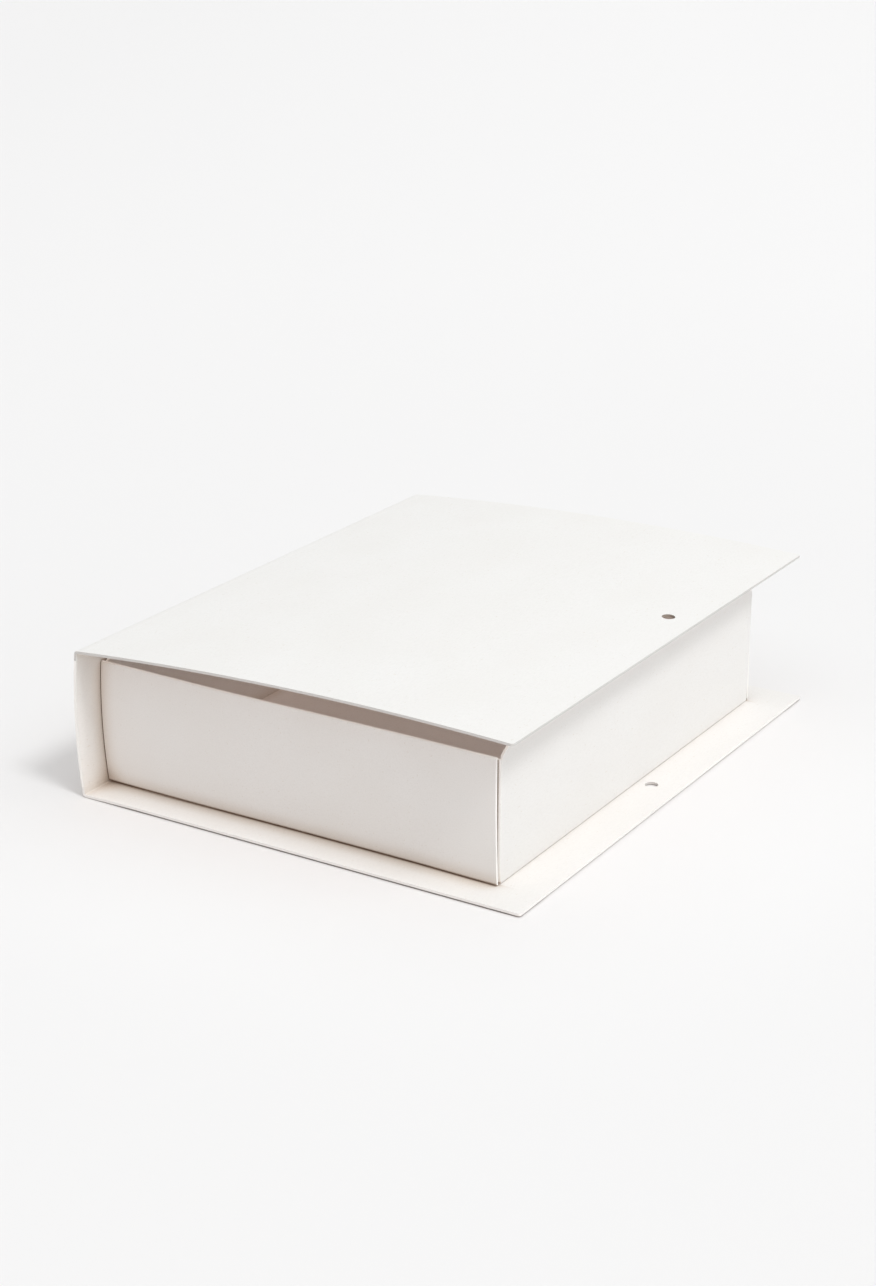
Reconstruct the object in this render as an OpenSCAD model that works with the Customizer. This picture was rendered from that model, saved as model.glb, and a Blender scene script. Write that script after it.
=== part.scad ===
// Clamshell book box of solid card. A cover sheet is creased twice into a back board, a spine panel and a
// front board. A second sheet is folded into a tray and glued to the inside of the back board.
// The box lies closed on its back board, with the front board standing a little open.
// Origin: centre of the back board's underside. +X points to the fore-edge, +Y to the tail, +Z up.

/* [Card] */
// Thickness of the solid card
card_t = 1.5; // [1.0:0.1:1.8]
// Radius of the free corners of both boards
corner_r = 1.5; // [0.5:0.1:6]

/* [Cover] */
// Length of the boards and the spine, from head to tail
board_l = 345; // [320:1:400]
// Width of the back board, from the spine to its fore-edge
back_w = 275; // [270:1:320]
// Width of the front board along its chord
front_w = 270.5; // [262:0.5:320]
// Height of the closed box at the spine, over both boards
spine_h = 85; // [84:1:100]
// How far the top crease stands outside the bottom crease
spine_lean = 1.2; // [0.2:0.1:3]
// How far the spine panel bulges outward at mid-height
spine_bulge = 2.5; // [1:0.1:4]
// Angle at which the front board stands open, in degrees
front_tilt = 1.3; // [0.5:0.1:6]
// How far the middle of the front board bows up from its chord
front_bow = 4.5; // [2:0.1:6]

/* [Tray] */
// Outside distance from the bottom crease to the tray's fore-edge wall
tray_reach = 250; // [240:1:252]
// Outside length of the tray, from head to tail
tray_l = 302; // [280:1:310]
// Height of the walls at head and tail
low_wall_h = 70; // [50:1:72]
// Height of the walls at fore-edge and spine
high_wall_h = 80; // [76:0.5:80.5]
// Length over which a high wall slopes down to a low one
shoulder_run = 16; // [10:1:30]
// Gap between the spine panel and the tray
spine_gap = 0.6; // [0.4:0.1:1]
// Length of the corner tabs
tab_l = 28; // [15:1:40]
// How much lower a tab is than the wall that covers it
tab_drop = 1.5; // [1:0.5:4]
// How much a tab narrows towards its free end, above and below
tab_taper = 5; // [2:1:12]
// Setback of a low wall's cut edge from the face of the fore-edge wall
wall_setback = 0.3; // [0.1:0.1:1]

/* [Adhesive] */
// Thickness of the adhesive under the tray floor
tray_glue_t = 0.2; // [0.1:0.05:0.3]
// Thickness of the adhesive between tabs and walls
tab_glue_t = 0.1; // [0.1:0.05:0.3]
// Margin left free of adhesive round each glued face
glue_margin = 6; // [3:1:10]

/* [Tie holes] */
// Diameter of the tie holes
hole_d = 7.5; // [5:0.1:10]
// Distance of the tie holes from the fore-edge of their board
hole_inset = 17; // [10:0.5:20]
// Distance of the back board's hole from mid-length, towards the tail
back_hole_y = 5; // [-40:1:40]
// Distance of the front board's hole from mid-length, towards the tail
front_hole_y = 30; // [-40:1:40]

/* [Hidden] */

card_lit = [0.96, 0.955, 0.945];
card_shaded = [0.90, 0.885, 0.865];
card_inside = [0.86, 0.84, 0.81];
crease_tone = [0.88, 0.87, 0.85];
glue_tone = [0.95, 0.93, 0.82];

fine = 96;        // sides of small round shapes
very_fine = 1440; // sides of the wide arcs that the bowed panels follow
past = 1;         // how far a cutting shape runs past what it cuts
reach = 400;      // longer than any panel

// A crease is a bead as thick as the card, and the panel that folds on it keeps this far from its axis
crease_r = card_t / 2;
fold_clear = crease_r + 0.1;
// The panel that holds the bead reaches round it this close to its axis
bead_grip = crease_r / 2;

// Axes of the two creases
back_crease_x = -back_w / 2 + crease_r;
back_crease_z = crease_r;
front_crease_x = back_crease_x - spine_lean;
front_crease_z = spine_h - crease_r;

// The spine panel's chord runs from crease to crease
spine_rise = front_crease_z - back_crease_z;
spine_chord = sqrt(spine_rise * spine_rise + spine_lean * spine_lean);
spine_angle = atan2(spine_rise, -spine_lean);
spine_r = arc_radius(spine_chord, spine_bulge);

// The front board's chord runs from its crease to its fore-edge
front_chord = front_w - crease_r;
front_r = arc_radius(front_chord, front_bow);

// The tray's spine wall follows the spine panel's arc, these distances inside the panel's middle
wall_outer = crease_r + spine_gap;
wall_inner = wall_outer + card_t;

// Levels in the tray
tray_z = card_t + tray_glue_t;
floor_top = tray_z + card_t;
low_top = tray_z + low_wall_h;
high_top = tray_z + high_wall_h;

// Faces of the tray
fore_x = -back_w / 2 + tray_reach;
head_y = tray_l / 2;
low_inner_y = head_y - card_t;
tab_outer_y = low_inner_y - tab_glue_t;
tab_inner_y = tab_outer_y - card_t;
spine_inner_x = arc_x(wall_inner, floor_top);

function arc_radius(chord, bow) = chord * chord / (8 * bow) + bow / 2;

// Centre of the spine's arc, in the box's own frame
function spine_centre_x() =
    back_crease_x + spine_chord / 2 * cos(spine_angle) + (spine_r - spine_bulge) * sin(spine_angle);
function spine_centre_z() =
    back_crease_z + spine_chord / 2 * sin(spine_angle) - (spine_r - spine_bulge) * cos(spine_angle);
// Where the arc that lies a distance inside the spine's middle crosses the level z
function arc_x(inside, z) =
    spine_centre_x() - sqrt(pow(spine_r - inside, 2) - pow(z - spine_centre_z(), 2));

// A round bar along Y
module bar_y(r, length, sides) {
    rotate([90, 0, 0]) cylinder(r = r, h = length, center = true, $fn = sides);
}

// Everything inside the arc over a chord along +X, at a distance outside (or inside) the arc itself
module under_arc(chord, bow, distance) {
    r = arc_radius(chord, bow);
    translate([chord / 2, 0, bow - r]) bar_y(r + distance, reach, very_fine);
}

// A sheet that follows the arc, between two distances from it
module arc_sheet(chord, bow, inner, outer) {
    difference() {
        under_arc(chord, bow, outer);
        under_arc(chord, bow, inner);
    }
}

// Frame in which +X runs up the spine's chord and +Z points out of the box
module spine_frame() {
    translate([back_crease_x, 0, back_crease_z]) rotate([0, -spine_angle, 0]) children();
}

// Frame in which +X runs along the front board's chord and +Z points out of its face
module front_frame() {
    translate([front_crease_x, 0, front_crease_z]) rotate([0, -front_tilt, 0]) children();
}

// Plan of a board from x0 to x1, with rounded corners at x1
module board_plan(x0, x1) {
    half = board_l / 2;
    translate([x0, -half]) square([x1 - corner_r - x0, board_l]);
    translate([x0, -half + corner_r]) square([x1 - x0, board_l - 2 * corner_r]);
    for (side = [-1, 1])
        translate([x1 - corner_r, side * (half - corner_r)]) circle(r = corner_r, $fn = fine);
}

// Section of a wall folded up from the floor: inner face on x = 0, outer face on x = -card_t
module folded_section(height) {
    translate([-card_t, card_t]) square([card_t, height - card_t]);
    intersection() {
        translate([0, card_t]) circle(r = card_t, $fn = fine);
        translate([-card_t, 0]) square(card_t);
    }
}

// Outline of a high wall, seen along X: level in the middle, sloping down to the low walls at both ends
module high_outline() {
    rotate([90, 0, 90]) linear_extrude(2 * reach, center = true) polygon([
        [-tab_inner_y, 0],
        [tab_inner_y, 0],
        [tab_inner_y, low_top],
        [tab_inner_y - shoulder_run, high_top],
        [-tab_inner_y + shoulder_run, high_top],
        [-tab_inner_y, low_top]
    ]);
}

// Back board, flat, reaching round the bead of the back crease
module back_board() {
    color(card_lit) difference() {
        linear_extrude(card_t) board_plan(back_crease_x + bead_grip, back_w / 2);
        translate([back_crease_x, 0, back_crease_z]) bar_y(crease_r, board_l + past, fine);
        translate([back_w / 2 - hole_inset, back_hole_y, -past])
            cylinder(d = hole_d, h = card_t + 2 * past, $fn = fine);
    }
}

// Bead of the crease on which the spine panel folds
module back_crease() {
    color(crease_tone) translate([back_crease_x, 0, back_crease_z]) bar_y(crease_r, board_l, fine);
}

// Spine panel, bulging outward, reaching round the bead of the front crease
module spine_panel() {
    bottom = back_crease_z + fold_clear;
    top = front_crease_z - bead_grip;
    color(card_lit) difference() {
        intersection() {
            spine_frame() arc_sheet(spine_chord, spine_bulge, -crease_r, crease_r);
            translate([front_crease_x - reach / 2, -board_l / 2, bottom]) cube([reach, board_l, top - bottom]);
        }
        translate([front_crease_x, 0, front_crease_z]) bar_y(crease_r, board_l + past, fine);
    }
}

// Bead of the crease on which the front board folds
module front_crease() {
    color(crease_tone) translate([front_crease_x, 0, front_crease_z]) bar_y(crease_r, board_l, fine);
}

// Front board, bowed up in the middle, with its tie hole drilled square to its face
module front_board() {
    hole_x = front_chord - hole_inset;
    hole_lean = asin((hole_x - front_chord / 2) / front_r);
    color(card_lit) front_frame() difference() {
        intersection() {
            arc_sheet(front_chord, front_bow, -crease_r, crease_r);
            translate([0, 0, -reach / 2]) linear_extrude(reach) board_plan(fold_clear, front_chord);
        }
        translate([front_chord / 2, front_hole_y, front_bow - front_r]) rotate([0, hole_lean, 0])
            translate([0, 0, front_r - card_t]) cylinder(d = hole_d, h = 2 * card_t, $fn = fine);
    }
}

// Tray floor, glued down on the back board
module tray_floor() {
    color(card_inside) translate([spine_inner_x, -low_inner_y, tray_z])
        cube([fore_x - card_t - spine_inner_x, 2 * low_inner_y, card_t]);
}

// Low wall at the head, its end at the spine cut to the tray's bulge
module tray_head_wall() {
    color(card_shaded) intersection() {
        translate([spine_inner_x - reach / 2, -low_inner_y, tray_z]) rotate([90, 0, 90])
            linear_extrude(reach / 2 + fore_x - wall_setback - spine_inner_x) folded_section(low_wall_h);
        spine_frame() under_arc(spine_chord, spine_bulge, -wall_outer);
    }
}

module tray_tail_wall() {
    mirror([0, 1, 0]) tray_head_wall();
}

// High wall at the fore-edge, with the upright folds that lead to its corner tabs
module tray_fore_edge_wall() {
    color(card_lit) {
        intersection() {
            translate([fore_x - card_t, 0, tray_z]) mirror([1, 0, 0]) rotate([90, 0, 0])
                linear_extrude(reach, center = true) folded_section(high_wall_h);
            high_outline();
        }
        for (side = [-1, 1]) intersection() {
            translate([fore_x - card_t, side * tab_inner_y, floor_top])
                cylinder(r = card_t, h = low_wall_h - card_t - tab_drop, $fn = fine);
            translate([fore_x - card_t, side * (tab_inner_y + card_t / 2), low_top / 2])
                translate([card_t / 2, 0, 0]) cube([card_t, card_t, low_top], center = true);
        }
    }
}

// High wall at the spine, bulging outward with the spine panel
module tray_spine_wall() {
    color(card_inside) intersection() {
        union() {
            intersection() {
                spine_frame() arc_sheet(spine_chord, spine_bulge, -wall_inner, -wall_outer);
                translate([spine_inner_x - reach / 2, -reach / 2, floor_top]) cube(reach);
            }
            intersection() {
                translate([spine_inner_x, 0, floor_top]) bar_y(card_t, reach, fine);
                translate([spine_inner_x - card_t, -reach / 2, tray_z]) cube([card_t, reach, card_t]);
            }
        }
        high_outline();
    }
}

// Outline of a corner tab seen along Y, from its fold at x = 0 to its narrower free end
module tab_outline() {
    bottom = floor_top + tab_drop;
    top = low_top - tab_drop;
    polygon([[0, bottom], [tab_l, bottom + tab_taper], [tab_l, top - tab_taper], [0, top]]);
}

// Tab of the fore-edge wall, glued behind the head wall
module head_fore_edge_tab() {
    color(card_inside) translate([fore_x - card_t, -tab_inner_y, 0]) mirror([1, 0, 0])
        rotate([90, 0, 0]) linear_extrude(card_t) tab_outline();
}

module tail_fore_edge_tab() {
    mirror([0, 1, 0]) head_fore_edge_tab();
}

// Tab of the spine wall, glued behind the head wall, its root cut to the wall's bulge
module head_spine_tab() {
    root = spine_bulge + card_t;
    color(card_inside) intersection() {
        translate([spine_inner_x, -tab_inner_y, 0]) rotate([90, 0, 0]) linear_extrude(card_t) union() {
            tab_outline();
            translate([-root, floor_top + tab_drop]) square([root, low_wall_h - card_t - 2 * tab_drop]);
        }
        spine_frame() under_arc(spine_chord, spine_bulge, -wall_inner);
    }
}

module tail_spine_tab() {
    mirror([0, 1, 0]) head_spine_tab();
}

// Sheet of adhesive between the tray floor and the back board
module tray_glue() {
    color(glue_tone) translate([spine_inner_x + glue_margin, -low_inner_y + glue_margin, card_t])
        cube([
            fore_x - card_t - spine_inner_x - 2 * glue_margin,
            2 * (low_inner_y - glue_margin),
            tray_glue_t
        ]);
}

// Patches of adhesive between the four tabs and the low walls
module tab_glue() {
    patch_l = tab_l - 2 * glue_margin;
    patch_h = low_wall_h - card_t - 2 * (tab_drop + tab_taper);
    color(glue_tone) for (side = [-1, 1])
        for (x = [spine_inner_x + glue_margin, fore_x - card_t - glue_margin - patch_l])
            translate([x, side * (low_inner_y - tab_glue_t / 2) - tab_glue_t / 2, floor_top + tab_drop + tab_taper])
                cube([patch_l, tab_glue_t, patch_h]);
}

back_board();
back_crease();
spine_panel();
front_crease();
front_board();
tray_floor();
tray_head_wall();
tray_tail_wall();
tray_fore_edge_wall();
tray_spine_wall();
head_fore_edge_tab();
tail_fore_edge_tab();
head_spine_tab();
tail_spine_tab();
tray_glue();
tab_glue();
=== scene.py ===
# %% [markdown]
# # A clamshell book box of solid card
# The real box is made from two sheets of card. One is creased twice and becomes the cover: back board,
# spine and front board. The other is folded into a tray and glued to the inside of the back board.
# The solid model gives the frame here, in metres: +X points to the fore-edge, +Y to the tail, +Z up.
# Every sheet is modelled again with soft folds, cut edges and slight curls, and stays in the same place.

# %% Load the solid model
import math

import bmesh
import bpy
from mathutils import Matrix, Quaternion, Vector


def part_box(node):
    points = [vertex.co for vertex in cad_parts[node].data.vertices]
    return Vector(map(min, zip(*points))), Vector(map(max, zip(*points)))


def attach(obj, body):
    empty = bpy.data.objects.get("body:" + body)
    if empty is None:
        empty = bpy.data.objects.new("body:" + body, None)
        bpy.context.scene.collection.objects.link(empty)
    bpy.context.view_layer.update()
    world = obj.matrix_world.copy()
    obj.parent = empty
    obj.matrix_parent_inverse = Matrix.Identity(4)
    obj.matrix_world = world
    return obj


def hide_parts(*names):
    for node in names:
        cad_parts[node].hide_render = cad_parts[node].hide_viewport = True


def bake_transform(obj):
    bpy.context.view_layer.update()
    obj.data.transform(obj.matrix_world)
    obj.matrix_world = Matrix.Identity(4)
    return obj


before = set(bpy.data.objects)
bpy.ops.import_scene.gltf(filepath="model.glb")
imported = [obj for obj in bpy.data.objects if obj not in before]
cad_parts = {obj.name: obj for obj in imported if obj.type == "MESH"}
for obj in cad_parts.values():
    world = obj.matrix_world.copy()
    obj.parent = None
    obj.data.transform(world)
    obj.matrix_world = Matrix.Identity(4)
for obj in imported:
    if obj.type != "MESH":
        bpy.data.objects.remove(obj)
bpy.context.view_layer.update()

# %% [markdown]
# ## Measures taken from the solids
# Each measure that the frame already holds is read from it, so a new piece can't drift from its solid.
# The two creases give the axes on which the cover folds. The bows are those of the solids' arcs. The new
# cover is a hair smaller than the solids, so that rounding never puts a point outside their box.

# %% Measures
def middle_of_box(node):
    """The middle of a solid's box."""
    low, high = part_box(node)
    return (low + high) / 2


AXIS_X, AXIS_Y, AXIS_Z = Vector((1, 0, 0)), Vector((0, 1, 0)), Vector((0, 0, 1))
hair = 0.00003

back_low, back_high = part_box("back_board")
card = back_high.z - back_low.z
half_card = card / 2
half_board = back_high.y - hair
back_end_x = back_high.x - hair
back_axis = middle_of_box("back_crease")
front_axis = middle_of_box("front_crease")

front_tilt = math.radians(1.3)
front_chord = 0.26975 - hair
front_bow = 0.0045 - hair
spine_bulge = 0.0025
print("card", round(1000 * card, 2), "mm; creases at", back_axis, front_axis)

# %% [markdown]
# ## Helpers for working as by hand
# An operator acts on everything that is selected, and the solids are all selected once they are loaded.
# So each step starts with nothing selected, opens one piece, and picks vertices or faces by their place.

# %% Helpers for selecting
SAME_PLACE = 1e-5


def deselect():
    """Leaves edit mode with nothing selected."""
    if bpy.context.mode != "OBJECT":
        bpy.ops.object.mode_set(mode="OBJECT")
    bpy.ops.object.select_all(action="DESELECT")


def take(piece):
    """Makes one piece the only selected object."""
    deselect()
    bpy.context.view_layer.objects.active = piece
    piece.select_set(True)


def open_piece(piece):
    """Opens one piece in edit mode with nothing in it selected."""
    take(piece)
    bpy.ops.object.mode_set(mode="EDIT")
    bpy.ops.mesh.select_all(action="DESELECT")


def middle_of(item):
    """The middle of an edge or face."""
    return sum((v.co for v in item.verts), Vector()) / len(item.verts)


def pick(piece, kind, test):
    """Selects the vertices, edges or faces of an open piece that pass a test on their place."""
    bpy.ops.mesh.select_mode(type=kind)
    bpy.ops.mesh.select_all(action="DESELECT")
    mesh = bmesh.from_edit_mesh(piece.data)
    items = {"VERT": mesh.verts, "EDGE": mesh.edges, "FACE": mesh.faces}[kind]
    picked = [item for item in items if test(item.co if kind == "VERT" else middle_of(item), item)]
    for item in picked:
        item.select_set(True)
    mesh.select_flush_mode()
    bmesh.update_edit_mesh(piece.data)
    return len(picked)


def same(first, second):
    """True for two lengths that are equal but for rounding."""
    return abs(first - second) < SAME_PLACE


# %% Helpers for making pieces
def just_added(name):
    """The object that the last operator added, given a name."""
    made = bpy.context.object
    made.name = name
    return made


def place_in_mesh(piece):
    """Moves an object's place, turn and scale into its mesh."""
    take(piece)
    bpy.ops.object.transform_apply(location=True, rotation=True, scale=True)


def apply_modifiers(piece):
    """Applies every modifier of a piece, in order."""
    take(piece)
    for modifier in list(piece.modifiers):
        bpy.ops.object.modifier_apply(modifier=modifier.name)


def discard(*pieces):
    """Deletes pieces that were only needed to shape others."""
    deselect()
    for piece in pieces:
        piece.select_set(True)
    bpy.ops.object.delete()


# %% [markdown]
# ## The camera
# The photograph looks down at the near corner between the fore-edge and the head, from some 1.4 m away.
# The camera's place, direction and focal length were found by lining the box's corners up with those in
# the photograph. A long lens keeps the far edges nearly parallel to the near ones.

# %% Camera
photo_height_px = 1286
focal_px = 2400
camera_place = Vector((0.65273, -1.10003, 0.53586))
camera_yaw = math.radians(-31.277)
camera_pitch = math.radians(20.293)
camera_roll = math.radians(0.37)
sensor_width_mm = 36
nearest_seen, farthest_seen = 0.05, 100

camera_forward = Vector((
    math.sin(camera_yaw) * math.cos(camera_pitch),
    math.cos(camera_yaw) * math.cos(camera_pitch),
    -math.sin(camera_pitch),
))
bpy.ops.object.camera_add(location=camera_place)
camera = just_added("Camera")
camera.rotation_mode = "QUATERNION"
camera.rotation_quaternion = camera_forward.to_track_quat("-Z", "Y") @ Quaternion(AXIS_Z, camera_roll)
camera.data.sensor_width = sensor_width_mm
camera.data.lens = focal_px / photo_height_px * sensor_width_mm
camera.data.clip_start = nearest_seen
camera.data.clip_end = farthest_seen
bpy.context.scene.camera = camera
print("lens", round(camera.data.lens, 2), "mm")

# %% [markdown]
# ## The light
# The box stands on a white sweep in a bright room. The backdrop is one even white, and it looks brighter
# to the camera than the light that it gives. A wide soft light hangs overhead, a second one stands beyond
# the fore-edge, and a smaller key light high above it throws a soft shadow behind the spine. A weak one in
# front lifts the shaded head side. The warm fill throws no shadow. It stands for the light that bounces
# between walls of white card, and it keeps the inside of the closed tray a warm grey, as in the
# photograph.

# %% Backdrop
backdrop_light = 0.125
backdrop_seen = 0.9

scene = bpy.context.scene
scene.view_settings.view_transform = "Standard"
world = bpy.data.worlds.new("Studio")
world.use_nodes = True
backdrop = world.node_tree.nodes["Background"]
backdrop.inputs["Color"].default_value = (1, 1, 1, 1)
seen_directly = world.node_tree.nodes.new("ShaderNodeLightPath").outputs["Is Camera Ray"]
backdrop_strength = world.node_tree.nodes.new("ShaderNodeMapRange")
backdrop_strength.inputs["To Min"].default_value = backdrop_light
backdrop_strength.inputs["To Max"].default_value = backdrop_seen
world.node_tree.links.new(seen_directly, backdrop_strength.inputs["Value"])
world.node_tree.links.new(backdrop_strength.outputs["Result"], backdrop.inputs["Strength"])
scene.world = world
print("backdrop gives", backdrop_light, "and looks", backdrop_seen)

# %% Lights
overhead_tint = (0.905, 0.974, 1.0)
fore_edge_tint = (0.884, 0.969, 1.0)
head_tint = (1.0, 0.985, 0.965)
bounce_tint = (1.0, 0.765, 0.675)


def add_soft_sun(name, comes_from, strength, spread, colour=(1, 1, 1)):
    """A distant light that comes from a direction, spread over an angle in degrees."""
    bpy.ops.object.light_add(type="SUN")
    sun = just_added(name)
    sun.rotation_mode = "QUATERNION"
    sun.rotation_quaternion = Vector(comes_from).to_track_quat("Z", "Y")
    sun.data.energy = strength
    sun.data.angle = math.radians(spread)
    sun.data.color = colour
    return sun


add_soft_sun("Overhead_light", comes_from=AXIS_Z, strength=1.60, spread=110, colour=overhead_tint)
add_soft_sun("Key_light", comes_from=(0.56, -0.14, 0.85), strength=0.98, spread=14)
add_soft_sun("Fore_edge_light", comes_from=(0.88, 0, 0.47), strength=0.82, spread=75, colour=fore_edge_tint)
add_soft_sun("Head_light", comes_from=(-0.25, -1, 0.5), strength=0.25, spread=90, colour=head_tint)
fill = add_soft_sun("Warm_fill", comes_from=(0.62, -0.86, 1.0), strength=0.775, spread=1, colour=bounce_tint)
fill.data.use_shadow = False

# %% [markdown]
# ## Helpers for materials
# Every finish is a small tree of nodes. Noise on Object coordinates gives fibres and clouds of tone, and a
# tone can be darkened in tight corners with painted shade. A Mix node has sockets for numbers, vectors and
# colours under the same names, so they are picked by number.

# %% Helpers for nodes
MIX_SHARE, MIX_FIRST, MIX_SECOND, MIX_RESULT = 0, 6, 7, 2
UNSTRETCHED = (1, 1, 1)


def new_material(name):
    """A material, with its tree of nodes and its shader."""
    material = bpy.data.materials.new(name)
    material.use_nodes = True
    return material, material.node_tree, material.node_tree.nodes["Principled BSDF"]


def set_or_link(tree, socket, value):
    """Gives an input a fixed value, or links it to an output."""
    if isinstance(value, bpy.types.NodeSocket):
        tree.links.new(value, socket)
    else:
        socket.default_value = value


def add_node(tree, kind, inputs=None, **settings):
    """A node with its settings and the values or links of its inputs."""
    node = tree.nodes.new(kind)
    for name, value in settings.items():
        setattr(node, name, value)
    for name, value in (inputs or {}).items():
        set_or_link(tree, node.inputs[name], value)
    return node


def worked_out(tree, operation, *values):
    """A number worked out from other numbers."""
    return add_node(tree, "ShaderNodeMath", dict(enumerate(values)), operation=operation).outputs["Value"]


def measured(tree, operation, *vectors):
    """A number measured on vectors, such as a length."""
    made = add_node(tree, "ShaderNodeVectorMath", dict(enumerate(vectors)), operation=operation)
    return made.outputs["Value"]


def mapped(tree, value, from_low, from_high, to_low, to_high):
    """A value carried from one range to another, and kept inside it."""
    ranges = {"From Min": from_low, "From Max": from_high, "To Min": to_low, "To Max": to_high}
    return add_node(tree, "ShaderNodeMapRange", {"Value": value, **ranges}).outputs["Result"]


def blended(tree, share, first, second, how="MIX"):
    """Two colours mixed by a share, or with MULTIPLY the first one darkened by the second."""
    made = add_node(tree, "ShaderNodeMix", data_type="RGBA", blend_type=how)
    for index, value in ((MIX_SHARE, share), (MIX_FIRST, first), (MIX_SECOND, second)):
        set_or_link(tree, made.inputs[index], value)
    return made.outputs[MIX_RESULT]


# %% Helpers for finishes
def scaled_colour(colour, factor):
    """An opaque colour made lighter or darker by a factor."""
    return tuple(factor * c for c in colour[:3]) + (1,)


def noise(tree, stretch, scale, detail=2.0, roughness=0.5):
    """Noise on Object coordinates, stretched along each axis."""
    place = add_node(tree, "ShaderNodeTexCoord").outputs["Object"]
    stretched = add_node(tree, "ShaderNodeMapping", {"Vector": place, "Scale": stretch}).outputs["Vector"]
    wanted = {"Vector": stretched, "Scale": scale, "Detail": detail, "Roughness": roughness}
    return add_node(tree, "ShaderNodeTexNoise", wanted).outputs["Fac"]


def edge_closeness(tree, reach):
    """1 close to an edge of the piece and 0 away from it."""
    rounded_normal = add_node(tree, "ShaderNodeBevel", {"Radius": reach}, samples=4).outputs["Normal"]
    true_normal = add_node(tree, "ShaderNodeNewGeometry").outputs["Normal"]
    return mapped(tree, measured(tree, "DOT_PRODUCT", rounded_normal, true_normal), 0.98, 0.75, 0.0, 1.0)


def painted_shade_in_corners(tree, tone, reach, stops, share=1.0):
    """A tone multiplied by painted shade: colours that depend on how open the surface is to its
    surroundings.
    """
    open_share = add_node(tree, "ShaderNodeAmbientOcclusion", {"Distance": reach}, samples=8).outputs["AO"]
    ramp = add_node(tree, "ShaderNodeValToRGB", {"Fac": open_share})
    for index, (position, colour) in enumerate(stops):
        stop = ramp.color_ramp.elements[index] if index < 2 else ramp.color_ramp.elements.new(position)
        stop.position = position
        stop.color = (*colour, 1)
    return blended(tree, share, tone, ramp.outputs["Color"], how="MULTIPLY")


def add_bump(tree, shader, height, strength, depth):
    """Small relief on a finish, from a height and the depth that it stands for."""
    bump = add_node(tree, "ShaderNodeBump", {"Height": height, "Strength": strength, "Distance": depth})
    tree.links.new(bump.outputs["Normal"], shader.inputs["Normal"])


# %% [markdown]
# ## The floor
# The floor is one wide pale sheet, a little below the box so that the two never flicker through each other.
# Painted light and shade in its tone stand for the uneven light of a real studio: paler far from the box,
# and greyer towards the left of the photograph. Close under the box a painted contact shadow darkens it to a
# thin line, which is weaker along the lit fore-edge.

# %% Floor
floor_width = 60
floor_gap = 0.0002
deselect()
bpy.ops.mesh.primitive_plane_add(size=floor_width, location=(0, 0, -floor_gap))
floor = just_added("Floor")
print("floor", floor_width, "m wide")

# %% Floor tone, with painted light and shade
NEAR_TONES = (0.802, 0.796, 0.795, 1), (0.810, 0.804, 0.803, 1)
# Paler far from the box and greyer towards the left: painted light and shade.
FAR_PAINTED_LIGHT_TONE = (0.856, 0.850, 0.849, 1)
LEFT_PAINTED_SHADE_TONE = (0.787, 0.781, 0.780, 1)
# A painted contact shadow close under the box.
CONTACT_SHADOW_TONES = ((0.1, (0.35, 0.35, 0.35)), (0.9, (1, 1, 1)), (0.5, (0.85, 0.85, 0.85)))
contact_shadow_reach = 0.003
contact_shadow_fade = 0.008
fore_edge_contact_shadow = 0.35
picture_right = (0.854, 0.52, 0)

floor_paint, floor_tree, floor_shader = new_material("Floor_with_painted_light_and_shade")
floor_place = add_node(floor_tree, "ShaderNodeTexCoord").outputs["Object"]
to_the_right = measured(floor_tree, "DOT_PRODUCT", floor_place, picture_right)
from_the_box = measured(floor_tree, "LENGTH", floor_place)
floor_clouds = noise(floor_tree, UNSTRETCHED, 1.3, detail=3)
floor_tone = blended(floor_tree, floor_clouds, *NEAR_TONES)
# Painted light far from the box, and painted shade towards the left.
paler = mapped(floor_tree, from_the_box, 0.25, 1.3, 0, 0.55)
floor_tone = blended(floor_tree, paler, floor_tone, FAR_PAINTED_LIGHT_TONE)
greyer = mapped(floor_tree, to_the_right, -0.7, 0.5, 0.7, 0)
floor_tone = blended(floor_tree, greyer, floor_tone, LEFT_PAINTED_SHADE_TONE)
along_x = add_node(floor_tree, "ShaderNodeSeparateXYZ", {"Vector": floor_place}).outputs["X"]
# Painted contact shadow, weaker along the lit fore-edge.
contact_shadow_share = mapped(floor_tree, along_x, back_high.x - contact_shadow_fade, back_high.x, 1, fore_edge_contact_shadow)
floor_tone = painted_shade_in_corners(floor_tree, floor_tone, contact_shadow_reach, CONTACT_SHADOW_TONES, contact_shadow_share)
floor_tree.links.new(floor_tone, floor_shader.inputs["Base Color"])
floor_grain = noise(floor_tree, UNSTRETCHED, 700)
floor_tree.links.new(mapped(floor_tree, floor_grain, 0.3, 0.7, 0.86, 0.94), floor_shader.inputs["Roughness"])
floor.data.materials.append(floor_paint)
print("floor paint", len(floor_tree.nodes), "nodes")

# %% [markdown]
# ## The cover as one sheet
# The real cover is one sheet of card. It is creased twice, so that it bends up into the spine and over
# into the front board. A box for each panel would leave hard joints, so the sheet is drawn as its middle
# line: one straight edge is extruded along the back board, then spun along the spine's bulge and along
# the bow of the front board. The creases are rounded, and the sheet is given its thickness at the end.

# %% Arcs of the spine and the front board
def arc_over(start, end, rise):
    """Centre, angle and radius of the arc that rises over a chord, run clockwise as seen along +Y."""
    chord = end - start
    radius = chord.length ** 2 / (8 * rise) + rise / 2
    inward = Vector((chord.z, 0, -chord.x)).normalized()
    centre = (start + end) / 2 + inward * (radius - rise)
    return centre, 2 * math.asin(chord.length / 2 / radius), radius


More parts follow.
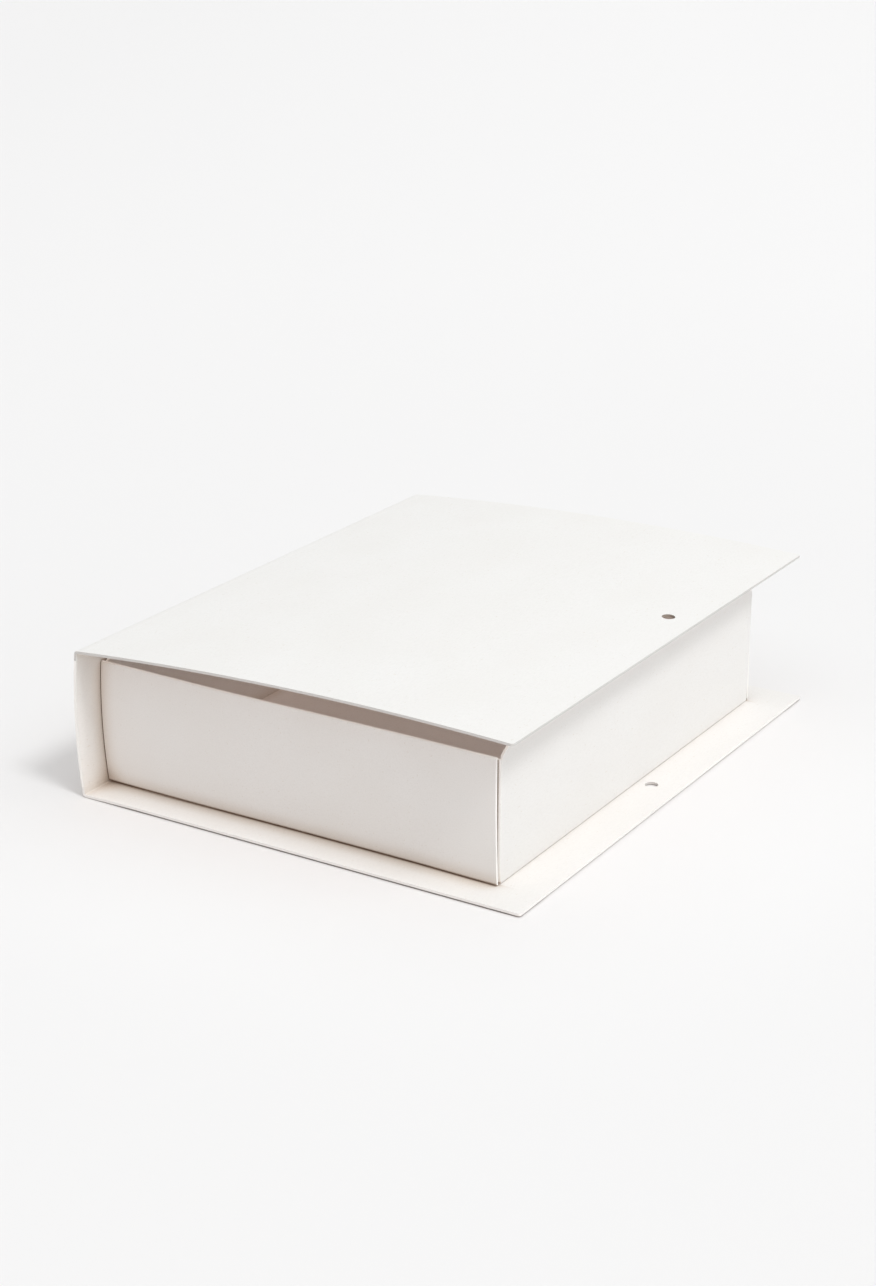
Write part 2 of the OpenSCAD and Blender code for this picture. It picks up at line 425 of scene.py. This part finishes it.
front_along = Vector((math.cos(front_tilt), 0, math.sin(front_tilt)))
front_edge = front_axis + front_along * front_chord
spine_centre, spine_turn, spine_radius = arc_over(back_axis, front_axis, spine_bulge)
front_centre, front_turn, front_radius = arc_over(front_axis, front_edge, front_bow)
print("spine radius", round(1000 * spine_radius, 1), "mm, front radius", round(1000 * front_radius, 1), "mm")

# %% Draw the sheet's middle line along the back board, the spine and the front board
cuts_along_edge = 23
back_steps, spine_steps, front_steps = 40, 24, 64

deselect()
bpy.ops.mesh.primitive_plane_add(size=2 * half_board, location=(back_end_x + half_board, 0, half_card))
cover = just_added("cover_sheet")
place_in_mesh(cover)
open_piece(cover)
pick(cover, "VERT", lambda at, v: at.x > back_end_x + half_board)
bpy.ops.mesh.delete(type="VERT")
bpy.ops.mesh.select_all(action="SELECT")
bpy.ops.mesh.subdivide(number_cuts=cuts_along_edge)

step = (back_axis.x - back_end_x) / back_steps
for _ in range(back_steps):
    bpy.ops.mesh.extrude_region_move(TRANSFORM_OT_translate={"value": (step, 0, 0)})
bpy.ops.mesh.spin(steps=spine_steps, angle=spine_turn, center=spine_centre, axis=(0, -1, 0))
bpy.ops.mesh.spin(steps=front_steps, angle=front_turn, center=front_centre, axis=(0, -1, 0))
bpy.ops.mesh.select_all(action="SELECT")
bpy.ops.mesh.normals_make_consistent(inside=False)
cover.update_from_editmode()
print("cover sheet", len(cover.data.polygons), "faces")

# %% Round the two creases and the four free corners
crease_bend = 0.0011
corner_radius = 0.0015
round_steps = 6


def away_from(at, axis):
    """How far a point lies from a line that runs from head to tail."""
    return math.hypot(at.x - axis.x, at.z - axis.z)


def is_free_corner(at):
    """True at the four corners of the sheet."""
    ends = (Vector((back_end_x, 0, half_card)), front_edge)
    return same(abs(at.y), half_board) and any(away_from(at, end) < 10 * SAME_PLACE for end in ends)


for axis in (back_axis, front_axis):
    pick(cover, "EDGE", lambda at, e: all(away_from(v.co, axis) < 2 * SAME_PLACE for v in e.verts))
    bpy.ops.mesh.bevel(offset=crease_bend, segments=round_steps, affect="EDGES")
rounded = pick(cover, "VERT", lambda at, v: is_free_corner(at))
bpy.ops.mesh.bevel(offset=corner_radius, segments=round_steps, affect="VERTICES")
print("rounded", rounded, "corners")

# %% Let the free edges of the back board curl up a little
# A vertex group holds how far each point lies outside the tray, and a Displace modifier lifts by it.
curl = 0.0005
curl_growth = 1.5
flat_at_crease = 0.002
full_curl_from_crease = 0.03
tray_end_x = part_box("tray_fore_edge_wall")[1].x
tray_side_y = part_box("tray_tail_wall")[1].y

deselect()
lift = cover.vertex_groups.new(name="free_edges")
for v in cover.data.vertices:
    if v.co.z < half_card + SAME_PLACE and v.co.x > back_axis.x + flat_at_crease:
        beside = (abs(v.co.y) - tray_side_y) / (half_board - tray_side_y)
        ahead = (v.co.x - tray_end_x) / (back_high.x - tray_end_x)
        from_crease = min(1, (v.co.x - back_axis.x) / full_curl_from_crease)
        out = max(0, min(1, max(beside, ahead)))
        lift.add([v.index], out ** curl_growth * from_crease, "REPLACE")
curl_up = cover.modifiers.new("curl", "DISPLACE")
curl_up.direction = "Z"
curl_up.mid_level = 0
curl_up.strength = curl
curl_up.vertex_group = lift.name
apply_modifiers(cover)
print("free edges lifted by up to", round(1000 * curl, 2), "mm")

# %% Give the sheet its thickness
thick = cover.modifiers.new("thickness", "SOLIDIFY")
thick.thickness = card - hair
thick.offset = 0
thick.use_even_offset = True
apply_modifiers(cover)
print("cover with thickness", len(cover.data.polygons), "faces")

# %% [markdown]
# ## The tie holes
# Each board is punched near its fore-edge, so that a tie can hold the box shut. A round cutter square to
# the board makes each hole. The punch presses the upper rim down, which the small bevel gives later.

# %% Punch the tie holes
hole_radius = 0.00375
hole_inset = 0.017
back_hole_y = 0.005
front_hole_y = 0.030
hole_sides = 64
cutter_depth = 6 * card


def boolean(piece, operation, cutter):
    """Applies a Boolean with a cutter, and leaves the cutter in place."""
    cut = piece.modifiers.new("cut", "BOOLEAN")
    cut.operation = operation
    cut.solver = "EXACT"
    cut.object = cutter
    apply_modifiers(piece)


def hole_cutter(name, place, direction):
    """A round cutter that runs through the card at a place, along a direction."""
    deselect()
    bpy.ops.mesh.primitive_cylinder_add(
        vertices=hole_sides, radius=hole_radius, depth=cutter_depth, location=place
    )
    cutter = just_added(name)
    cutter.rotation_mode = "QUATERNION"
    cutter.rotation_quaternion = direction.to_track_quat("Z", "Y")
    place_in_mesh(cutter)
    return cutter


back_hole_at = Vector((back_high.x - hole_inset, back_hole_y, half_card))
hole_turn = math.asin((front_chord / 2 - hole_inset) / front_radius) - front_tilt
front_hole_out = Vector((math.sin(hole_turn), 0, math.cos(hole_turn)))
front_hole_at = front_centre + front_hole_out * front_radius + Vector((0, front_hole_y, 0))
cutters = [
    hole_cutter("back_hole_cutter", back_hole_at, AXIS_Z),
    hole_cutter("front_hole_cutter", front_hole_at, front_hole_out),
]
for cutter in cutters:
    boolean(cover, "DIFFERENCE", cutter)
discard(*cutters)
print("holes at", [[round(1000 * c, 1) for c in at] for at in (back_hole_at, front_hole_at)])

# %% Soften the cut edges
cut_softness = 0.00018
sharp_angle = math.radians(50)


def soften(piece):
    """Small bevels along the cut edges of a piece."""
    edges = piece.modifiers.new("soft_edges", "BEVEL")
    edges.width = cut_softness
    edges.segments = 2
    edges.limit_method = "ANGLE"
    edges.angle_limit = sharp_angle
    apply_modifiers(piece)


soften(cover)
print("cover with soft edges", len(cover.data.polygons), "faces")

# %% [markdown]
# ## Splitting the cover at its creases
# Each panel rides on its own body, and the short fold between two panels is a piece of its own. So copies of
# the sheet are cut across at four lines, close to the creases, and each copy keeps one stretch of it.
# The cuts are closed, and they lie flush, so the surface still looks like one sheet.

# %% Where the sheet is cut
fold_reach = 0.005


def on_arc(centre, start, length):
    """Point and direction at a length along an arc from its start, run clockwise as seen along +Y."""
    spoke = start - centre
    turn = length / spoke.length
    moved = Vector((
        spoke.x * math.cos(turn) + spoke.z * math.sin(turn),
        0,
        -spoke.x * math.sin(turn) + spoke.z * math.cos(turn),
    ))
    return centre + moved, Vector((moved.z, 0, -moved.x)).normalized()


spine_length = spine_radius * spine_turn
mid_height = ((back_axis + front_axis) / 2, AXIS_Z)
back_cut = (back_axis + AXIS_X * fold_reach, AXIS_X)
spine_low_cut = on_arc(spine_centre, back_axis, fold_reach)
spine_high_cut = on_arc(spine_centre, back_axis, spine_length - fold_reach)
front_cut = on_arc(front_centre, front_axis, fold_reach)
print("spine", round(1000 * spine_length, 1), "mm along its bulge")

# %% Cut the sheet into three panels and two folds
MERGE_REACH = 1e-6


def copy_of(piece, name):
    """A copy of a piece with its own mesh."""
    take(piece)
    bpy.ops.object.duplicate(linked=False)
    return just_added(name)


def cut_across(at, direction, **settings):
    """Cuts everything in the open piece along a plane, given by a point and a direction."""
    bpy.ops.mesh.select_all(action="SELECT")
    bpy.ops.mesh.bisect(plane_co=at, plane_no=direction, threshold=MERGE_REACH, **settings)


def part_of_cover(name, *cuts):
    """A copy of the cover that keeps what lies beyond each cut, given as a point and a direction."""
    made = copy_of(cover, name)
    open_piece(made)
    for cut_at, direction in cuts:
        cut_across(cut_at, direction, use_fill=True, clear_inner=True)
    deselect()
    return made


def turned_back(cut):
    """The same cut, keeping the other side."""
    return cut[0], -cut[1]


back_card = part_of_cover("back_board_card", turned_back(mid_height), back_cut)
back_fold = part_of_cover("back_fold_card", turned_back(back_cut), turned_back(spine_low_cut))
spine_card = part_of_cover("spine_card", spine_low_cut, turned_back(spine_high_cut))
front_fold = part_of_cover("front_fold_card", spine_high_cut, turned_back(front_cut))
front_card = part_of_cover("front_board_card", mid_height, front_cut)
discard(cover)
cover_pieces = [back_card, back_fold, spine_card, front_fold, front_card]
print("cover pieces", {p.name: len(p.data.polygons) for p in cover_pieces})

# %% [markdown]
# ## The low walls of the tray
# Each low wall is folded up from the tray's floor, so its lower edge is round outside and its other edges
# are cut. A slab is cut into a grid first, because only a grid can bulge. The end at the spine is trimmed
# with a wide round cutter, so that it follows the spine's bulge and leaves a thin dark gap beside it. The
# end at the fore-edge slopes back a little towards the top, and bares the upright fold behind it.

# %% Helpers for walls
def slab(name, low, high):
    """A slab of card between two corners."""
    deselect()
    bpy.ops.mesh.primitive_cube_add(size=1, location=(low + high) / 2)
    made = just_added(name)
    made.scale = high - low
    place_in_mesh(made)
    return made


def slice_up(direction, low, high, spacing):
    """Cuts across the open piece at even steps, so that it can bend."""
    count = round((high - low) / spacing)
    for i in range(1, count):
        cut_across(direction * (low + (high - low) * i / count), direction)


# %% Round cutter that follows the spine's bulge
bulge_sides = 1440
quarter_turn = math.radians(90)
wall_radius = spine_centre.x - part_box("tray_spine_wall")[0].x

deselect()
bpy.ops.mesh.primitive_cylinder_add(
    vertices=bulge_sides, radius=wall_radius, depth=3 * half_board,
    location=spine_centre, rotation=(quarter_turn, 0, 0),
)
bulge_cutter = just_added("bulge_cutter")
place_in_mesh(bulge_cutter)
print("cutter radius", round(1000 * wall_radius, 1), "mm")

# %% Head wall
fold_radius = 0.93 * card
fold_lift = 0.0004
rubbed_radius = 0.0008
rubbed_steps = 4
end_slope = 0.0014
sloped_corner = 0.002
spare_end = 0.002
above_fold = 0.003
low_wall_grid = 0.010

head_low, head_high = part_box("tray_head_wall")
head_wall = slab("head_wall_card", head_low + Vector((-spare_end, 0, fold_lift)), head_high)
open_piece(head_wall)
pick(head_wall, "EDGE", lambda at, e: same(at.y, head_low.y) and same(at.z, head_low.z + fold_lift))
bpy.ops.mesh.bevel(offset=fold_radius, segments=round_steps, affect="EDGES")
pick(head_wall, "EDGE", lambda at, e: same(at.y, head_low.y) and same(at.z, head_high.z))
bpy.ops.mesh.bevel(offset=rubbed_radius, segments=rubbed_steps, affect="EDGES")
pick(head_wall, "VERT", lambda at, v: same(at.x, head_high.x) and at.z > head_high.z - sloped_corner)
bpy.ops.transform.translate(value=(-end_slope, 0, 0))
slice_up(AXIS_X, head_low.x, head_high.x, low_wall_grid)
slice_up(AXIS_Z, head_low.z + above_fold, head_high.z, low_wall_grid)
deselect()
boolean(head_wall, "INTERSECT", bulge_cutter)
discard(bulge_cutter)
soften(head_wall)
print("head wall", len(head_wall.data.polygons), "faces")

# %% Tail wall, the head wall's mirror image
tail_wall = copy_of(head_wall, "tail_wall_card")
open_piece(tail_wall)
bpy.ops.mesh.select_all(action="SELECT")
bpy.ops.transform.resize(value=(1, -1, 1), center_override=(0, 0, 0))
bpy.ops.mesh.normals_make_consistent(inside=False)
deselect()
print("tail wall", len(tail_wall.data.polygons), "faces")

# %% [markdown]
# ## The high wall at the fore-edge
# This wall stands higher than its neighbours, and its ends slope down to them. At each end it turns round
# an upright fold and goes on as a tab, which is glued behind the low wall. The low wall covers the fold
# but for its round outer side, and a thin dark line shows between them.

# %% Fore-edge wall
foot_radius = 0.5 * card
shoulder_run = 0.016
high_wall_grid = 0.012
fore_low, fore_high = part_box("tray_fore_edge_wall")
tab_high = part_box("head_fore_edge_tab")[1]
floor_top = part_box("tray_floor")[1].z
low_top = head_high.z
wall_end = -tab_high.y

fore_wall = slab(
    "fore_edge_wall_card",
    Vector((fore_low.x, -wall_end, fore_low.z)),
    Vector((fore_high.x, wall_end, fore_high.z)),
)
open_piece(fore_wall)
pick(fore_wall, "EDGE", lambda at, e: same(at.x, fore_high.x) and same(at.z, fore_low.z))
bpy.ops.mesh.bevel(offset=foot_radius, segments=round_steps, affect="EDGES")
for level in (floor_top, tab_high.z):
    cut_across((0, 0, level), AXIS_Z)
for side in (-1, 1):
    slope = Vector((0, side * (fore_high.z - low_top), shoulder_run)).normalized()
    cut_across((0, side * wall_end, low_top), slope, use_fill=True, clear_outer=True)
    pick(fore_wall, "FACE", lambda at, f: same(at.y, side * wall_end) and floor_top < at.z < tab_high.z)
    bpy.ops.mesh.extrude_region_move(TRANSFORM_OT_translate={"value": (0, side * card, 0)})
    pick(fore_wall, "EDGE", lambda at, e: same(at.x, fore_high.x) and same(at.y, side * (wall_end + card)))
    bpy.ops.mesh.bevel(offset=fold_radius, segments=round_steps, affect="EDGES")
slice_up(AXIS_Y, -wall_end, wall_end, high_wall_grid)
slice_up(AXIS_Z, fore_low.z + above_fold, fore_high.z, high_wall_grid)
deselect()
soften(fore_wall)
print("fore-edge wall", len(fore_wall.data.polygons), "faces")

# %% [markdown]
# ## The tray's other pieces
# The floor, the spine wall and the four tabs are hidden until the box is opened. Their solids have the
# right outline already. A solid's mesh is loose triangles, so each copy is merged, its flat faces are
# joined again, and its cut edges are softened like the others.

# %% Softened copies of the other solids
flat_angle = math.radians(0.5)
tabs = [f"{end}_{wall}_tab" for wall in ("fore_edge", "spine") for end in ("head", "tail")]


def softened_copy(node):
    """A copy of a solid with merged faces and soft cut edges, free of its solid's parent and properties."""
    made = copy_of(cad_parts[node], node.removeprefix("tray_") + "_card")
    made.parent = None
    for key in list(made.keys()):
        del made[key]
    open_piece(made)
    bpy.ops.mesh.select_all(action="SELECT")
    bpy.ops.mesh.remove_doubles(threshold=MERGE_REACH)
    bpy.ops.mesh.dissolve_limited(angle_limit=flat_angle)
    deselect()
    soften(made)
    return made


copies = {node: softened_copy(node) for node in ("tray_floor", "tray_spine_wall", *tabs)}
print("softened copies", {p.name: len(p.data.polygons) for p in copies.values()})

# %% [markdown]
# ## Slight unevenness
# Hand-folded card is never quite flat. The head wall swells outwards a little towards the spine, its free
# end at the fore-edge stands off the fold behind it, and its top edge rises slightly towards the spine.

# %% Uneven head wall
push_grip = 0.008
swelling_at = Vector((-0.12, head_low.y, 0.034))
free_end_at = Vector((head_high.x, head_low.y, 0.038))
raised_at = Vector((head_low.x, head_low.y, head_high.z))


def push(piece, centre, shift, reach):
    """Pulls a piece along at one place, and its surroundings less and less with distance."""
    open_piece(piece)
    held = pick(piece, "VERT", lambda at, v: (at - centre).length < push_grip)
    bpy.ops.transform.translate(
        value=shift, use_proportional_edit=True, proportional_edit_falloff="SMOOTH", proportional_size=reach
    )
    deselect()
    print(piece.name, "pushed by", [round(1000 * s, 1) for s in shift], "mm, held at", held, "points")


push(head_wall, swelling_at, shift=(0, -0.0011, 0), reach=0.12)
push(head_wall, free_end_at, shift=(0, -0.0016, 0), reach=0.065)
push(head_wall, raised_at, shift=(0, 0, 0.0012), reach=0.10)

# %% [markdown]
# ## Card
# The card is a thick uncoated board with a smooth, faintly warm white surface. Seen close, it has short
# felted fibres that run from head to tail, a few tiny flecks, and soft clouds of tone, all made with noise
# on Object coordinates, so that they stay on the card when the cover folds. Its edges are a little lighter.
# Painted shade darkens and warms it in tight corners, and on the cover also in wide recesses. Corners on the
# fore-edge side, which faces the light, get less of this painted shade.

# %% Where painted shade darkens corners
CORNER_SHADE_TONES = (
    (0.10, (0.30, 0.23, 0.19)),
    (0.85, (1, 1, 1)),
    (0.35, (0.62, 0.54, 0.47)),
    (0.55, (0.90, 0.86, 0.82)),
)
# Wide recesses get a weaker, warm painted shade.
RECESS_SHADE_TONES = ((0.35, (0.92, 0.885, 0.85)), (0.88, (1, 1, 1)))
corner_shade_reach = 0.014
recess_shade_reach = 0.03
lit_side_share = 0.1
lit_side_run = 0.006


def shaded_side(tree):
    """The share of painted shade: 1 on the shaded side, and small on the fore-edge side between the ends of
    its wall.
    """
    place = add_node(tree, "ShaderNodeTexCoord").outputs["Object"]
    axes = add_node(tree, "ShaderNodeSeparateXYZ", {"Vector": place}).outputs
    beside = worked_out(tree, "ABSOLUTE", axes["Y"])
    behind = mapped(tree, axes["X"], fore_low.x - lit_side_run, fore_low.x, 1, lit_side_share)
    past_its_ends = mapped(tree, beside, wall_end, wall_end + half_card, lit_side_share, 1)
    return worked_out(tree, "MAXIMUM", behind, past_its_ends)


# %% Card
FLECK_TONE = (0.62, 0.55, 0.45, 1)
LIGHTER_EDGE_TONE = (0.93, 0.92, 0.90, 1)
fibre_darkening = 0.93
lighter_edge_reach = 0.0007


def make_card(name, pale, warm, recess_shade_tones=None):
    """Smooth felted card, from its pale tone to its warmer one, with painted shade in corners and a softer
    painted shade in wide recesses.
    """
    material, tree, shader = new_material(name)
    clouds = noise(tree, (1, 0.6, 1), 22, detail=3)
    fibres = noise(tree, (1, 0.28, 1), 1500, detail=3, roughness=0.6)
    felt = noise(tree, (1, 0.5, 1), 420, detail=4, roughness=0.65)
    flecks = noise(tree, (1, 0.4, 1), 1100, detail=1)
    tone = blended(tree, mapped(tree, clouds, 0.35, 0.65, 0, 1), pale, warm)
    darker = scaled_colour(warm, fibre_darkening)
    tone = blended(tree, mapped(tree, fibres, 0.42, 0.7, 0, 0.45), tone, darker)
    tone = blended(tree, mapped(tree, flecks, 0.72, 0.76, 0, 0.35), tone, FLECK_TONE)
    # The edges are made a little lighter.
    lighter_edge_share = mapped(tree, edge_closeness(tree, lighter_edge_reach), 0, 1, 0, 0.35)
    tone = blended(tree, lighter_edge_share, tone, LIGHTER_EDGE_TONE)
    shaded = shaded_side(tree)
    # Painted shade in corners, and in wide recesses on the cover.
    tone = painted_shade_in_corners(tree, tone, corner_shade_reach, CORNER_SHADE_TONES, shaded)
    if recess_shade_tones:
        tone = painted_shade_in_corners(tree, tone, recess_shade_reach, recess_shade_tones, shaded)
    tree.links.new(tone, shader.inputs["Base Color"])
    tree.links.new(mapped(tree, felt, 0.3, 0.7, 0.72, 0.86), shader.inputs["Roughness"])
    shader.inputs["Specular IOR Level"].default_value = 0.28
    fibre_height = mapped(tree, fibres, 0.2, 0.8, 0, 0.5)
    felt_height = mapped(tree, felt, 0.2, 0.8, 0, 1)
    add_bump(tree, shader, worked_out(tree, "ADD", fibre_height, felt_height), strength=0.22, depth=0.00008)
    return material


cover_card = make_card("Cover_card", (0.820, 0.812, 0.796, 1), (0.808, 0.797, 0.777, 1), RECESS_SHADE_TONES)
tray_card = make_card("Tray_card", (0.818, 0.809, 0.794, 1), (0.806, 0.794, 0.774, 1))
print("card finishes", {m.name: len(m.node_tree.nodes) for m in (cover_card, tray_card)}, "nodes")

# %% [markdown]
# ## Cut edges
# A cut edge shows the card's core, with thin layers that run along it. The layers are noise stretched
# along the card and squeezed across its thickness, so each direction of card needs its own finish.
# In the photograph the core looks palest on upright card, a little duller on the back board, clearly duller
# on the front board, and dark brown in its tie hole. On a real sheet it would have one tone, but the light
# here doesn't give these differences, so each has its own pair of tones, which paint them in: the duller
# tones and the dark brown of the tie hole are painted shade. Level card that the photograph doesn't show
# gets those of the front board. Painted shade also darkens every cut edge in tight corners.

# %% Cut edges
# Painted shade on cut edges in tight corners.
EDGE_SHADE_TONES = ((0.08, (0.35, 0.28, 0.23)), (0.45, (1, 1, 1)), (0.25, (0.75, 0.68, 0.62)))
UPRIGHT_CORE = (0.955, 0.945, 0.925, 1), (0.89, 0.875, 0.845, 1)
LEVEL_CORE_WITH_PAINTED_SHADE = (0.66, 0.65, 0.63, 1), (0.59, 0.578, 0.558, 1)
LYING_CORE_WITH_PAINTED_SHADE = (0.89, 0.88, 0.86, 1), (0.82, 0.807, 0.785, 1)
HOLE_CORE_PAINTED_SHADE = (0.34, 0.29, 0.25, 1), (0.27, 0.225, 0.19, 1)
edge_shade_reach = 0.003
crumb_lightening = 1.015
along_card, across_card = 40, 5200
LEVEL_LAYERS = (along_card, along_card, across_card)
HEAD_LAYERS = (along_card, across_card, along_card)
SPINE_LAYERS = (across_card, along_card, along_card)


def make_cut_edge(name, stretch, pale, deep):
    """The core of the card, with thin layers across its thickness, from its pale tone to its deep one, and
    painted shade in tight corners.
    """
    material, tree, shader = new_material(name)
    layers = noise(tree, stretch, 1, detail=2, roughness=0.7)
    crumbs = noise(tree, UNSTRETCHED, 2600, detail=2)
    crumb_tone = scaled_colour(pale, crumb_lightening)
    tone = blended(tree, mapped(tree, layers, 0.35, 0.65, 0, 1), pale, deep)
    tone = blended(tree, mapped(tree, crumbs, 0.5, 0.75, 0, 0.4), tone, crumb_tone)
    # Painted shade in tight corners.
    tone = painted_shade_in_corners(tree, tone, edge_shade_reach, EDGE_SHADE_TONES)
    tree.links.new(tone, shader.inputs["Base Color"])
    tree.links.new(mapped(tree, crumbs, 0.3, 0.7, 0.82, 0.95), shader.inputs["Roughness"])
    shader.inputs["Specular IOR Level"].default_value = 0.2
    crumb_height = mapped(tree, crumbs, 0.3, 0.7, 0, 0.6)
    add_bump(tree, shader, worked_out(tree, "ADD", layers, crumb_height), strength=0.35, depth=0.00006)
    return material


edge_along_z = make_cut_edge("Cut_edge_of_level_card_with_painted_shade", LEVEL_LAYERS, *LEVEL_CORE_WITH_PAINTED_SHADE)
edge_on_table = make_cut_edge("Cut_edge_of_lying_board_with_painted_shade", LEVEL_LAYERS, *LYING_CORE_WITH_PAINTED_SHADE)
edge_in_hole = make_cut_edge("Cut_edge_in_tie_hole_painted_shade", LEVEL_LAYERS, *HOLE_CORE_PAINTED_SHADE)
edge_along_y = make_cut_edge("Cut_edge_across_head_and_tail", HEAD_LAYERS, *UPRIGHT_CORE)
edge_along_x = make_cut_edge("Cut_edge_across_spine_and_fore_edge", SPINE_LAYERS, *UPRIGHT_CORE)
print("cut edges", [m.name for m in bpy.data.materials if m.name.startswith("Cut_edge")])

# %% [markdown]
# ## Dried glue
# The adhesive lies hidden between the tray and the cover. It is yellowish and a little glossier than the
# card, with streaks from head to tail. The solids have its shape, so they only get this finish.

# %% Dried glue
GLUE_TONES = (0.78, 0.74, 0.62, 1), (0.86, 0.83, 0.74, 1)


def make_glue():
    """Streaky dried glue."""
    material, tree, shader = new_material("Dried_glue")
    streaks = noise(tree, (1, 0.2, 1), 160, detail=3)
    tone = blended(tree, mapped(tree, streaks, 0.35, 0.65, 0, 1), *GLUE_TONES)
    tree.links.new(tone, shader.inputs["Base Color"])
    tree.links.new(mapped(tree, streaks, 0.3, 0.7, 0.3, 0.5), shader.inputs["Roughness"])
    add_bump(tree, shader, streaks, strength=0.3, depth=0.0001)
    return material


glue = make_glue()
for node in ("tray_glue", "tab_glue"):
    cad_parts[node].data.materials.clear()
    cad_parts[node].data.materials.append(glue)
    print(node, "has", glue.name)

# %% [markdown]
# ## Putting the finishes on
# A face is a cut edge when it looks along the card rather than out of it. Each piece of the tray says
# across which axis its card is thin, and every face that looks another way gets the cut-edge finish. The
# cover turns at its creases, so there the test also asks where a face lies.

# %% Helpers for finishing
FACE_SLOT, EDGE_SLOT, HOLE_SLOT = 0, 1, 2
smooth_angle = math.radians(20)


def finish_selected(piece, slot_number):
    """Gives the selected faces of an open piece one of its finishes."""
    piece.active_material_index = slot_number
    bpy.ops.object.material_slot_assign()


def finish_piece(piece, face_material, edge_material, is_cut_edge):
    """Gives a piece its two finishes and smooth shading on curved faces."""
    piece.data.materials.clear()
    piece.data.materials.append(face_material)
    piece.data.materials.append(edge_material)
    open_piece(piece)
    cut_faces = pick(piece, "FACE", is_cut_edge)
    bpy.ops.mesh.select_all(action="INVERT")
    finish_selected(piece, FACE_SLOT)
    bpy.ops.mesh.select_all(action="INVERT")
    finish_selected(piece, EDGE_SLOT)
    take(piece)
    bpy.ops.object.shade_smooth_by_angle(angle=smooth_angle)
    print(piece.name, cut_faces, "cut faces")


# %% Finish the cover
end_limit = 0.4
upright_limit = 0.8


def cover_is_cut(at, face):
    """True for the head and tail edges, and beyond the middle for upright faces: fore-edges and holes."""
    return abs(face.normal.y) > end_limit or (abs(face.normal.z) < upright_limit and at.x > 0)


cover_edges = {back_card: edge_on_table, back_fold: edge_on_table, spine_card: edge_along_x}
for piece in cover_pieces:
    finish_piece(piece, cover_card, cover_edges.get(piece, edge_along_z), cover_is_cut)

# %% Finish the walls of the tie holes
hole_reach = 1.2 * hole_radius
# The front board's hole wall gets dark brown painted shade, and the back board's gets the level card's edge
# finish.
hole_walls = ((back_card, back_hole_at, edge_along_z), (front_card, front_hole_at, edge_in_hole))
for piece, hole_at, wall_material in hole_walls:
    piece.data.materials.append(wall_material)
    open_piece(piece)
    inside = pick(
        piece, "FACE",
        lambda at, f: (at - hole_at).length < hole_reach and abs(f.normal.z) < upright_limit,
    )
    finish_selected(piece, HOLE_SLOT)
    deselect()
    print(piece.name, inside, "faces in its tie hole")

# %% Finish the tray
along_limit = 0.6


def looks_along(axis_name):
    """A test for faces that look along the card, whose thickness runs along one axis."""
    return lambda at, face: abs(getattr(face.normal, axis_name)) < along_limit


tray_pieces = {
    "tray_head_wall": (head_wall, edge_along_y, "y"),
    "tray_tail_wall": (tail_wall, edge_along_y, "y"),
    "tray_fore_edge_wall": (fore_wall, edge_along_x, "x"),
    "tray_spine_wall": (copies["tray_spine_wall"], edge_along_x, "x"),
    "tray_floor": (copies["tray_floor"], edge_along_z, "z"),
    **{tab: (copies[tab], edge_along_y, "y") for tab in tabs},
}
for node, (piece, edge_material, axis_name) in tray_pieces.items():
    finish_piece(piece, tray_card, edge_material, looks_along(axis_name))
    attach(piece, "tray_and_back_board")
    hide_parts(node)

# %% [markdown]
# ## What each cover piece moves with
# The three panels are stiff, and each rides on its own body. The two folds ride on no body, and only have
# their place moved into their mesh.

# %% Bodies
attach(back_card, "tray_and_back_board")
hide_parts("back_board")
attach(spine_card, "spine")
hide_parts("spine_panel")
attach(front_card, "front_cover")
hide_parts("front_board")

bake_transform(back_fold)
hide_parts("back_crease")
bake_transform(front_fold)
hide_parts("front_crease")

# %% Leave nothing selected
deselect()
